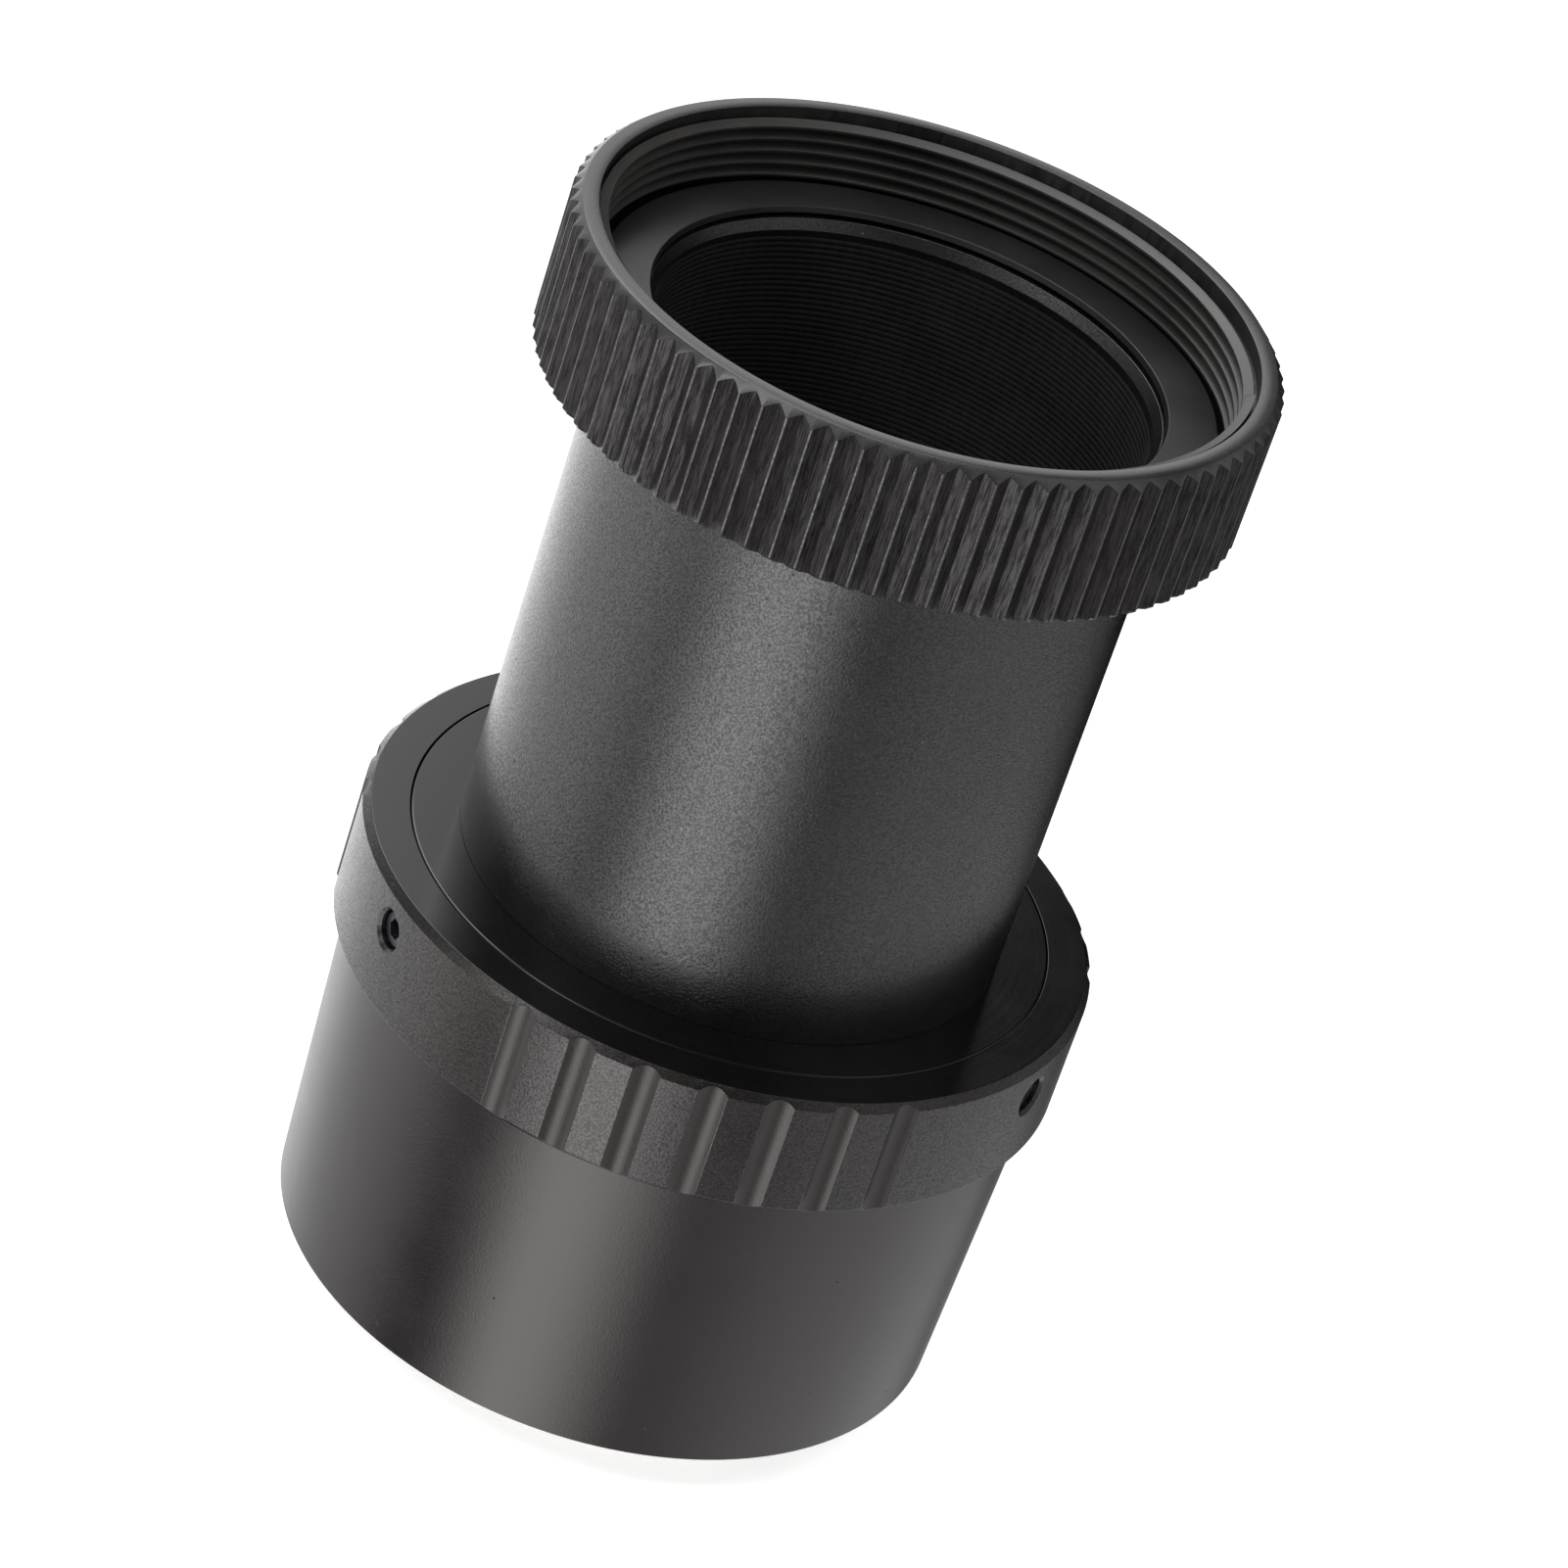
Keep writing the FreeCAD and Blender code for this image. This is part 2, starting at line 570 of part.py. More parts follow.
os.makedirs("parts", exist_ok=True)
for node in nodes:
    node.Shape.exportStep(f"parts/{node.Label}.step")
    box = node.Shape.BoundBox
    print(f"{node.Label}: {len(node.Shape.Solids)} solid(s), {node.Shape.Volume:.1f} mm3, "
          f"z {box.ZMin:.2f} to {box.ZMax:.2f}, radius about {max(box.XMax, box.YMax):.2f}")
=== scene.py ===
import math

import bmesh
import bpy
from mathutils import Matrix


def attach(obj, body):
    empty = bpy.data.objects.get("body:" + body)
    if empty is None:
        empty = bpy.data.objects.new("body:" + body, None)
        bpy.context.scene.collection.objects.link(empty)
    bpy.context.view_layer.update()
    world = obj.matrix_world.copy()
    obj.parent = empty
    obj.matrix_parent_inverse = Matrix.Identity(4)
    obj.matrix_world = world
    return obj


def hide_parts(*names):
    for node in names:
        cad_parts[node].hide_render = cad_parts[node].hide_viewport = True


# Telescope to camera adapter. Sizes in the dictionaries are millimetres and degrees. The camera seat is
# at level 0 and +Z points to the telescope. A section is drawn through corners of reach and level.

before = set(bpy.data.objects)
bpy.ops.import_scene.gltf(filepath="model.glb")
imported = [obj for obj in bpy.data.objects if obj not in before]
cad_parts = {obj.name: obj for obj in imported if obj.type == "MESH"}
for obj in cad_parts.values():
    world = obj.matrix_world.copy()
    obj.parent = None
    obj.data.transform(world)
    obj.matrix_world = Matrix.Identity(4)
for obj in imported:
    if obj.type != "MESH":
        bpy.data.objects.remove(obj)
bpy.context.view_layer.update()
print("frame loaded")

mergeGap = 0.0005   # vertices nearer to each other than this become one


# modelling steps that the pieces share

def mm(size):
    return size / 1000


def spot(radius, azimuth, level=0.0):
    angle = math.radians(azimuth)
    return (radius * math.cos(angle), radius * math.sin(angle), level)


def polar(radius, azimuth, level=0.0):
    # the same in metres, for Blender's own tools
    return [mm(size) for size in spot(radius, azimuth, level)]


def azimuthOf(place):
    return math.degrees(math.atan2(place.y, place.x)) % 360


def reachOf(place):
    return math.hypot(place.x, place.y)


def turnedFrom(place, azimuth):
    # degrees from the azimuth round to the place, -180 to 180
    return (azimuthOf(place) - azimuth + 180) % 360 - 180


def upright(normal, slope):
    return abs(normal.z) < slope


def clearSelection():
    if bpy.context.mode != "OBJECT":
        bpy.ops.object.mode_set(mode="OBJECT")
    bpy.ops.object.select_all(action="DESELECT")


def selectOnly(piece):
    clearSelection()
    bpy.context.view_layer.objects.active = piece
    piece.select_set(True)


def editMode(piece):
    selectOnly(piece)
    bpy.ops.object.mode_set(mode="EDIT")


def selectAll():
    bpy.ops.mesh.select_all(action="SELECT")


def selectVertices(piece, test):
    # test gets each vertex's place in millimetres
    bpy.ops.mesh.select_mode(type="VERT")
    bpy.ops.mesh.select_all(action="DESELECT")
    mesh = bmesh.from_edit_mesh(piece.data)
    for vertex in mesh.verts:
        if test(vertex.co * 1000):
            vertex.select_set(True)
    mesh.select_flush(True)
    bmesh.update_edit_mesh(piece.data)


def mergeDoubles():
    selectAll()
    bpy.ops.mesh.remove_doubles(threshold=mm(mergeGap))
    selectAll()


def drawSection(name, corners, azimuth=0.0, closed=True):
    # starts as a plane merged to one vertex, which is extruded from corner to corner
    clearSelection()
    bpy.ops.mesh.primitive_plane_add(size=mm(1))
    piece = bpy.context.object
    piece.name = name
    bpy.ops.object.mode_set(mode="EDIT")
    selectAll()
    bpy.ops.mesh.merge(type="CENTER")
    bpy.ops.transform.translate(value=polar(corners[0][0], azimuth, corners[0][1]))
    route = list(corners[1:]) + ([corners[0]] if closed else [])
    here = corners[0]
    for corner in route:
        step = polar(corner[0] - here[0], azimuth, corner[1] - here[1])
        bpy.ops.mesh.extrude_region_move(TRANSFORM_OT_translate={"value": step})
        here = corner
    mergeDoubles()
    return piece


def sweep(angle, steps=1, copies=False):
    # spin goes clockwise about its axis, so the axis points down
    turn = math.radians(angle)
    bpy.ops.mesh.spin(steps=steps, dupli=copies, angle=turn, center=(0, 0, 0), axis=(0, 0, -1))


def closeMesh():
    mergeDoubles()
    bpy.ops.mesh.normals_make_consistent(inside=False)
    bpy.ops.object.mode_set(mode="OBJECT")


def capEnds(corners):
    # closes both ends of a section that was swept part of the way or wound up
    selectAll()
    bpy.ops.mesh.fill_holes(sides=len(corners))
    closeMesh()


def turned(name, corners, steps=192, closed=True):
    piece = drawSection(name, corners, closed=closed)
    sweep(360, steps)
    closeMesh()
    return piece


def pushColumn(piece, azimuth, column, band, depth, lift=0.0):
    # moves the vertices of one upright line of the outer wall, between the band's levels, in and up
    def onColumn(place):
        beside = abs(turnedFrom(place, azimuth)) < column["halfWidth"]
        return beside and reachOf(place) > column["beyond"] and band[0] < place.z < band[1]

    selectVertices(piece, onColumn)
    bpy.ops.transform.translate(value=polar(-depth, azimuth, lift))


def applyModifier(piece, kind, settings):
    selectOnly(piece)
    modifier = piece.modifiers.new(kind.title(), kind)
    for name, setting in settings.items():
        setattr(modifier, name, setting)
    bpy.ops.object.modifier_apply(modifier=modifier.name)


def roundEdges(piece, width, limit=28, segments=3):
    applyModifier(piece, "BEVEL", {
        "width": mm(width),
        "segments": segments,
        "limit_method": "ANGLE",
        "angle_limit": math.radians(limit),
    })


def shade(piece, angle=13):
    selectOnly(piece)
    bpy.ops.object.shade_smooth_by_angle(angle=math.radians(angle))
    applyModifier(piece, "WEIGHTED_NORMAL", {"keep_sharp": True})   # flats stay flat up to their rounds


def cut(piece, cutter):
    applyModifier(piece, "BOOLEAN", {"operation": "DIFFERENCE", "object": cutter, "solver": "EXACT"})
    bpy.data.objects.remove(cutter)


def turnAndMove(piece, turnBy=(0, 0, 0), offset=(0, 0, 0)):
    selectOnly(piece)
    piece.rotation_euler = [math.radians(angle) for angle in turnBy]
    piece.location = [mm(size) for size in offset]
    bpy.ops.object.transform_apply(location=True, rotation=True, scale=True)


def copyOf(piece, name):
    selectOnly(piece)
    bpy.ops.object.duplicate(linked=False)
    twin = bpy.context.object
    twin.name = name
    return twin


def joined(pieces, name):
    selectOnly(pieces[0])
    for piece in pieces:
        piece.select_set(True)
    bpy.ops.object.join()
    pieces[0].name = name
    return pieces[0]


def paintFaces(piece, slot, test):
    # gives a finish slot to the faces whose middle and normal pass the test
    for face in piece.data.polygons:
        if test(face.center * 1000, face.normal):
            face.material_index = slot


def dress(piece, body, node, finishes):
    for finish in finishes:
        piece.data.materials.append(finish)
    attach(piece, body)
    if node:
        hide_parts(node)


def makeTurned(name, form, body, node, finish):
    # a plain round piece, from its section and the width of its edge rounds
    piece = turned(name, form["section"])
    roundEdges(piece, form["edge"])
    shade(piece)
    dress(piece, body, node, [finish])


def makeRidge(name, ridge, body, finish):
    # a thread's ridge, whose section climbs round the axis; it lies on a wall and replaces no node
    corners = [(reach, ridge["foot"] + level) for reach, level in ridge["section"]]
    piece = drawSection(name, corners)
    applyModifier(piece, "SCREW", {
        "axis": "Z",
        "screw_offset": mm(ridge["pitch"]),
        "iterations": ridge["turns"],
        "steps": ridge["steps"],
        "render_steps": ridge["steps"],
    })
    editMode(piece)
    capEnds(corners)
    if "edge" in ridge:
        roundEdges(piece, ridge["edge"], segments=2)
    shade(piece, angle=25)
    dress(piece, body, None, [finish])


# materials are written as sums of sockets, so that a pattern reads like the formula it is

def grey(level, warmth=0.0):
    return (level * (1 + warmth), level, level * (1 - warmth), 1)


def setSockets(node, constants):
    for socket, number in constants.items():
        node.inputs[socket].default_value = number


def setStops(ramp, stops):
    while len(ramp.elements) < len(stops):
        ramp.elements.new(1.0)
    for element, (position, colour) in zip(ramp.elements, stops):
        element.position = position
        element.color = colour


class Wire:
    # a node socket that sums and products are written with
    def __init__(self, tree, socket=None):
        self.tree = tree
        self.socket = socket

    def node(self, kind, settings=None, inputs=None, output=0):
        # adds a node of a type, with its settings and what its sockets get, and gives one of its outputs
        node = self.tree.nodes.new("ShaderNode" + kind)
        for name, setting in (settings or {}).items():
            if name == "stops":
                setStops(node.color_ramp, setting)
            else:
                setattr(node, name, setting)
        for name, given in (inputs or {}).items():
            if isinstance(given, Wire):
                self.tree.links.new(given.socket, node.inputs[name])
            else:
                node.inputs[name].default_value = given
        return Wire(self.tree, node.outputs[output])

    def work(self, operation, first, second=0.0):
        return self.node("Math", {"operation": operation}, {0: first, 1: second})

    def __add__(self, other):
        return self.work("ADD", self, other)

    def __radd__(self, other):
        return self.work("ADD", other, self)

    def __sub__(self, other):
        return self.work("SUBTRACT", self, other)

    def __rsub__(self, other):
        return self.work("SUBTRACT", other, self)

    def __mul__(self, other):
        return self.work("MULTIPLY", self, other)

    def __rmul__(self, other):
        return self.work("MULTIPLY", other, self)

    def split(self):
        return [self.node("SeparateXYZ", inputs={0: self}, output=axis) for axis in range(3)]

    def ramp(self, low, high, shape="LINEAR"):
        # 0 up to low and 1 from high
        limits = {"Value": self, "From Min": low, "From Max": high}
        return self.node("MapRange", {"clamp": True, "interpolation_type": shape}, limits)

    def blend(self, first, second):
        # the first colour where this is 0 and the second where it is 1
        given = {"Factor": self, "A": first, "B": second}
        return self.node("Mix", {"data_type": "RGBA"}, given, output=2)


class Finish:
    # a new material: its shader, and the sums of place that its patterns use, in millimetres
    def __init__(self, name, constants):
        self.material = bpy.data.materials.new(name)
        self.material.use_nodes = True
        tree = self.material.node_tree
        self.shader = tree.nodes["Principled BSDF"]
        setSockets(self.shader, constants)
        self.start = Wire(tree)
        self.coordinates = self.start.node("TexCoord", output="Object")
        self.x, self.y, self.z = [part * 1000 for part in self.coordinates.split()]
        self.radius = self.start.work("SQRT", self.x * self.x + self.y * self.y)
        self.angle = self.start.work("ARCTAN2", self.y, self.x)

    def feed(self, socket, wire):
        self.start.tree.links.new(wire.socket, self.shader.inputs[socket])

    def noise(self, scale, detail=2.0, roughness=0.5, vector=None):
        return self.start.node("TexNoise", {"noise_dimensions": "3D"}, {
            "Vector": vector or self.coordinates,
            "Scale": scale,
            "Detail": detail,
            "Roughness": roughness,
        })

    def rings(self, scale):
        # turning marks: change along the section and hardly round the axis
        drift = self.angle * 0.15
        lines = self.start.node("CombineXYZ", inputs={0: self.radius, 1: self.z, 2: drift})
        return self.noise(scale, detail=3.0, roughness=0.6, vector=lines)

    def strokes(self, scale, radius, slant=0.0):
        # cutter marks: change round the wall and hardly along the axis, or slant across it
        around = self.angle * radius + self.z * slant
        drift = self.z * 0.06
        lines = self.start.node("CombineXYZ", inputs={0: around, 1: drift, 2: self.radius * 0.2})
        return self.noise(scale, detail=3.0, roughness=0.65, vector=lines)

    def spots(self, scale, size):
        # 1 in small spots about size millimetres wide, 0 elsewhere, with soft rims
        given = {"Vector": self.coordinates, "Scale": scale}
        cells = self.start.node("TexVoronoi", {"feature": "F1"}, given)
        return 1 - cells.ramp(size * scale * mm(0.4), size * scale * mm(0.6))

    def relief(self, height):
        # height in millimetres
        return self.start.node("Bump", inputs={"Height": height, "Strength": 1.0, "Distance": mm(1)})


def mixed(first, second, share):
    return first * (1 - share) + second * share


# depths and sizes of marks are in millimetres
# scales are per metre, or per millimetre for lines and strokes

blackMarks = {
    "cloudScale": 150.0,
    "grainShare": 0.4,              # the share of each mark when it is mixed into the tone
    "lineShare": 0.4,
    "strokeShare": 0.5,
    "toneLimits": (0.40, 0.60),     # a tone up to the first is dark, from the second light
    "pitLimits": (0.42, 0.50),      # pits lie where the cloud is over these
    "pitDepth": 0.04,
    # painted shade: the pits get a near-black colour for the shade that falls in them
    "pitShadeColour": grey(0.001),
    "pitRoughness": 0.4,
    "dustLimits": (0.50, 0.56),     # dust lies where the grain is over these
    "dustCover": 0.6,
    "dustColour": grey(0.30),
}


def blackFinish(name, look):
    # black anodised aluminium: turned, blasted or milled, by the marks that look names
    finish = Finish(name, {"IOR": look["ior"], "Specular Tint": look.get("sheenTint", (1, 1, 1, 1))})
    cloud = finish.noise(blackMarks["cloudScale"], detail=4.0, roughness=0.6)
    grain = finish.noise(look["grainScale"], detail=2.0, roughness=0.6)
    skin = grain
    height = grain * look["grainDepth"]
    tone = mixed(cloud, grain, blackMarks["grainShare"])
    if "lineScale" in look:
        lines = finish.rings(look["lineScale"])
        height = height + lines * look["lineDepth"]
        tone = mixed(tone, lines, blackMarks["lineShare"])
    if "strokeScale" in look:
        strokes = finish.strokes(look["strokeScale"], look["strokeRadius"], look.get("strokeSlant", 0.0))
        skin = strokes
        height = height + strokes * look["strokeDepth"]
        tone = mixed(tone, strokes, blackMarks["strokeShare"])
    mask = tone.ramp(*blackMarks["toneLimits"])
    colour = mask.blend(look["dark"], look["light"])
    rough = look["roughness"] + mask * look["roughnessSpread"]
    if "pitScale" in look:
        pits = finish.spots(look["pitScale"], look["pitSize"]) * cloud.ramp(*blackMarks["pitLimits"])
        height = height - pits * blackMarks["pitDepth"]
        # the pits are sunk and made rougher, and their colour is darkened as painted shade
        colour = pits.blend(colour, blackMarks["pitShadeColour"])
        rough = rough + pits * blackMarks["pitRoughness"]
    if "dustScale" in look:
        dust = finish.spots(look["dustScale"], look["dustSize"]) * grain.ramp(*blackMarks["dustLimits"])
        colour = (dust * blackMarks["dustCover"]).blend(colour, blackMarks["dustColour"])
    if "coatGrain" in look:
        # the skin shines unevenly, from stroke to stroke where it is milled and else from grain to grain
        finish.feed("Coat Weight", skin.ramp(*blackMarks["toneLimits"]) * look["coatGrain"])
        setSockets(finish.shader, {"Coat Roughness": look["roughness"]})
    finish.feed("Base Color", colour)
    finish.feed("Roughness", rough)
    finish.feed("Normal", finish.relief(height))
    return finish.material


metalMarks = {
    "cloudScale": 300.0,
    "cloudShare": 0.4,
    "toneLimits": (0.36, 0.64),
}


def metalFinish(name, look):
    # bare or plated metal with turning marks
    finish = Finish(name, {"Metallic": look["metallic"]})
    lines = finish.rings(look["lineScale"])
    cloud = finish.noise(metalMarks["cloudScale"], detail=4.0)
    mask = mixed(lines, cloud, metalMarks["cloudShare"]).ramp(*metalMarks["toneLimits"])
    finish.feed("Base Color", mask.blend(look["dark"], look["light"]))
    finish.feed("Roughness", look["roughness"] + cloud * look["roughnessSpread"])
    finish.feed("Normal", finish.relief(lines * look["lineDepth"]))
    return finish.material


def edgeFinish(name, look):
    # a narrow land where the black is worn through in places
    finish = Finish(name, {"IOR": 1.6})
    wear = finish.noise(look["wearScale"], detail=4.0, roughness=0.7)
    mask = wear.ramp(look["wearFrom"], look["wearTo"])
    finish.feed("Base Color", mask.blend(look["dark"], look["bare"]))
    finish.feed("Metallic", mask * look["metallic"])
    finish.feed("Roughness", look["roughness"] - mask * 0.1)   # bare metal is a little smoother
    return finish.material


print("steps and material makers ready")

brownSheen = (1.0, 0.93, 0.93, 1)

ringBlack = blackFinish("ring_black", {
    "ior": 1.72,
    "roughness": 0.18,
    "roughnessSpread": 0.06,
    "dark": grey(0.016, 0.03),
    "light": grey(0.030, 0.04),
    "grainScale": 5000.0,
    "grainDepth": 0.004,
    "lineScale": 9.0,
    "lineDepth": 0.002,
})
threadBlack = blackFinish("thread_black", {
    "ior": 1.55,
    "roughness": 0.40,
    "roughnessSpread": 0.10,
    "dark": grey(0.004, 0.06),
    "light": grey(0.009, 0.08),
    "grainScale": 4000.0,
    "grainDepth": 0.003,
    "lineScale": 12.0,
    "lineDepth": 0.002,
})
ridgeBlack = blackFinish("ridge_black", {
    "ior": 1.60,
    "roughness": 0.36,
    "roughnessSpread": 0.10,
    "dark": grey(0.018, 0.05),
    "light": grey(0.032, 0.06),
    "grainScale": 4000.0,
    "grainDepth": 0.003,
    "lineScale": 12.0,
    "lineDepth": 0.002,
})
knurlBlack = blackFinish("knurl_black", {
    "ior": 1.23,
    "coatGrain": 0.45,
    "roughness": 0.24,
    "roughnessSpread": 0.14,
    "sheenTint": brownSheen,
    "dark": (0.0030, 0.0025, 0.0024, 1),
    "light": (0.0150, 0.0126, 0.0120, 1),
    "grainScale": 4400.0,
    "grainDepth": 0.024,
    "strokeScale": 9.0,
    "strokeRadius": 27.6,
    "strokeDepth": 0.065,
})
tubeBlack = blackFinish("tube_black", {
    "ior": 1.48,
    "coatGrain": 0.7,
    "roughness": 0.20,
    "roughnessSpread": 0.06,
    "dark": grey(0.005),
    "light": grey(0.009),
    "grainScale": 5600.0,
    "grainDepth": 0.045,
    "pitScale": 520.0,
    "pitSize": 0.24,
    "dustScale": 450.0,
    "dustSize": 0.14,
})
barrelBlack = blackFinish("barrel_black", {
    "ior": 1.6,
    "roughness": 0.21,
    "roughnessSpread": 0.04,
    "sheenTint": brownSheen,
    "dark": grey(0.004, 0.08),
    "light": grey(0.007, 0.10),
    "grainScale": 5200.0,
    "grainDepth": 0.014,
    "pitScale": 300.0,
    "pitSize": 0.22,
})
gripBlack = blackFinish("grip_black", {
    "ior": 1.465,
    "coatGrain": 0.6,
    "roughness": 0.19,
    "roughnessSpread": 0.08,
    "sheenTint": brownSheen,
    "dark": grey(0.004, 0.08),
    "light": grey(0.009, 0.10),
    "grainScale": 5600.0,
    "grainDepth": 0.030,
    "pitScale": 400.0,
    "pitSize": 0.24,
})
fluteBlack = blackFinish("flute_black", {
    "ior": 1.55,
    "roughness": 0.30,
    "roughnessSpread": 0.12,
    "sheenTint": brownSheen,
    "dark": grey(0.005, 0.12),
    "light": grey(0.012, 0.12),
    "grainScale": 5600.0,
    "grainDepth": 0.014,
    "strokeScale": 4.0,
    "strokeRadius": 29.8,
    "strokeSlant": 1.2,
    "strokeDepth": 0.014,
})
topBlack = blackFinish("top_black", {
    "ior": 1.5,
    "roughness": 0.13,
    "roughnessSpread": 0.05,
    "dark": grey(0.003, 0.02),
    "light": grey(0.006, 0.02),
    "grainScale": 4000.0,
    "grainDepth": 0.002,
    "lineScale": 7.0,
    "lineDepth": 0.001,
})
flangeBlack = blackFinish("flange_black", {
    "ior": 1.52,
    "roughness": 0.30,
    "roughnessSpread": 0.06,
    "dark": grey(0.010),
    "light": grey(0.014),
    "grainScale": 5200.0,
    "grainDepth": 0.010,
    "pitScale": 400.0,
    "pitSize": 0.16,
})
boreBlack = blackFinish("bore_black", {
    "ior": 1.16,
    "roughness": 0.60,
    "roughnessSpread": 0.08,
    "dark": grey(0.016),
    "light": grey(0.022),
    "grainScale": 4000.0,
    "grainDepth": 0.004,
    "dustScale": 300.0,
    "dustSize": 0.10,
})
crestEdge = edgeFinish("crest_edge", {
    "metallic": 0.85,
    "roughness": 0.45,
    "wearScale": 3000.0,
    "wearFrom": 0.42,
    "wearTo": 0.58,
    "dark": grey(0.02, 0.03),
    "bare": grey(0.11, 0.02),
})
screwSteel = metalFinish("screw_steel", {
    "metallic": 0.8,
    "lineScale": 8.0,
    "lineDepth": 0.002,
    "roughness": 0.24,
    "roughnessSpread": 0.12,
    "dark": (0.035, 0.036, 0.042, 1),
    "light": (0.10, 0.105, 0.12, 1),
})
brightSteel = metalFinish("bright_steel", {
    "metallic": 1.0,
    "lineScale": 10.0,
    "lineDepth": 0.002,
    "roughness": 0.26,
    "roughnessSpread": 0.12,
    "dark": (0.38, 0.38, 0.38, 1),
    "light": (0.55, 0.55, 0.56, 1),
})
mountChrome = metalFinish("mount_chrome", {
    "metallic": 1.0,
    "lineScale": 9.0,
    "lineDepth": 0.003,
    "roughness": 0.20,
    "roughnessSpread": 0.14,
    "dark": (0.50, 0.49, 0.47, 1),
    "light": (0.68, 0.67, 0.65, 1),
})
print("finishes ready")

barrel = {
    "section": [(26.03, 0.0), (27.7, 0.0), (28.6, 26.7), (26.98, 26.7), (26.98, 29.0), (24.6, 29.0),
                (24.6, 5.2), (22.0, 5.2), (22.0, 2.2), (26.03, 2.2)],
    "edge": 0.10,
}

makeTurned("rear_barrel_turned", barrel, "camera_side", "rear_barrel", barrelBlack)
print("barrel made")

grip = {
    "radius": 30.0,
    "section": [(27.0, 26.7), (29.4, 26.7), (30.0, 27.3), (30.0, 31.2), (30.0, 36.7), (29.4, 37.3),
                (26.28, 37.3), (26.28, 30.6), (24.6, 30.6), (24.6, 29.02), (27.0, 29.02)],
    "zones": 3,
    "zoneCentre": 38.0,
    "plainSteps": 26,
    "flutes": 7,
    "fluteSpacing": 10.1,
    "fluteRadius": 1.75,
    "fluteDepth": 0.42,
    "fluteSteps": 8,
    "landSteps": 2,
    "middleBand": (30.0, 32.0),      # levels between which each row of the outer wall's vertices lies
    "topBand": (36.0, 37.0),
    "footBand": (27.0, 28.0),
    "outerWall": 0.2,                # how far inside the radius it still counts as the outer wall
    "seamWidth": 0.02,               # degrees either side of a zone's last column
    "edge": 0.045,
    "drill": [(0, -6), (1.54, -6), (1.54, -0.3), (1.82, 0.0), (2.82, 1.0), (0, 1.0)],
    "screwLevel": 33.8,
    "screwAzimuths": (-22.0, 98.0, 218.0),
    "fluteFaces": (29.5, 29.97),     # reaches and slopes that part the finishes
    "fluteSlope": 0.2,
    "topSlope": 0.9,
    "boreReach": 28.0,
}


def fluteFloor(centre, offAngle):
    # radius of the flute's floor at an angle from the flute's middle
    across = centre * math.sin(math.radians(offAngle))
    return centre * math.cos(math.radians(offAngle)) - math.sqrt(grip["fluteRadius"] ** 2 - across ** 2)


def makeGripRing():
    # one flute is swept and sunk and copied to a row, which gets a plain stretch and is copied round
    rim = grip["radius"]
    cutter = grip["fluteRadius"]
    centre = rim - grip["fluteDepth"] + cutter
    half = math.degrees(math.acos((centre ** 2 + rim ** 2 - cutter ** 2) / (2 * centre * rim)))
    zone = grip["fluteSpacing"] * grip["flutes"]
    start = grip["zoneCentre"] - zone / 2
    land = grip["fluteSpacing"] / 2 - half
    step = 2 * half / grip["fluteSteps"]
    piece = drawSection("grip_ring_fluted", grip["section"], azimuth=start)
    sweep(land, grip["landSteps"])
    sweep(2 * half, grip["fluteSteps"])
    sweep(land, grip["landSteps"])
    middle = start + grip["fluteSpacing"] / 2
    column = {"halfWidth": step / 4, "beyond": rim - grip["outerWall"]}
    for number in range(1, grip["fluteSteps"]):
        off = -half + step * number
        depth = rim - fluteFloor(centre, off)
        pushColumn(piece, middle + off, column, grip["middleBand"], depth)
        pushColumn(piece, middle + off, column, grip["topBand"], depth, lift=depth)
        pushColumn(piece, middle + off, column, grip["footBand"], depth, lift=-depth)
    selectAll()
    sweep(grip["fluteSpacing"] * (grip["flutes"] - 1), grip["flutes"] - 1, copies=True)
    mergeDoubles()
    selectVertices(piece, lambda place: abs(turnedFrom(place, start + zone)) < grip["seamWidth"])
    sweep(360 / grip["zones"] - zone, grip["plainSteps"])
    selectAll()
    sweep(360 / grip["zones"] * (grip["zones"] - 1), grip["zones"] - 1, copies=True)
    closeMesh()
    roundEdges(piece, grip["edge"])
    drills = []
    for azimuth in grip["screwAzimuths"]:
        drill = turned("grip_drill", grip["drill"], steps=40)
        turnAndMove(drill, turnBy=(0, 90, 0))
        turnAndMove(drill, offset=(rim, 0, grip["screwLevel"]))
        turnAndMove(drill, turnBy=(0, 0, azimuth))
        drills.append(drill)
    cut(piece, joined(drills, "drills"))
    shade(piece)
    finishes = [gripBlack, fluteBlack, topBlack]
    near, far = grip["fluteFaces"]
    paintFaces(piece, finishes.index(fluteBlack),
               lambda place, normal: near < reachOf(place) < far and upright(normal, grip["fluteSlope"]))
    paintFaces(piece, finishes.index(topBlack),
               lambda place, normal: normal.z > grip["topSlope"] or reachOf(place) < grip["boreReach"])
    dress(piece, "camera_side", "grip_ring", finishes)


makeGripRing()
print("grip ring made")

# the insert shows as the flat ring between the grip ring and the tube
insert = {
    "section": [(21.0, 30.66), (26.2, 30.66), (26.2, 32.9), (25.3, 33.8), (26.2, 34.7), (26.2, 37.3),
                (21.0, 37.3)],
    "edge": 0.18,
}

makeTurned("t_thread_insert_turned", insert, "tube", "t_thread_insert", topBlack)
print("insert made")

# a set screw is made point down on the axis, then laid over to point inwards
setScrew = {
    "section": [(0.0, 25.75), (0.35, 25.75), (1.5, 26.85), (1.5, 29.2), (1.38, 29.35), (0.0, 29.35)],
    "top": 29.35,
    "socket": 1.5,
    "socketDepth": 1.2,
    "socketInset": 0.12,
}


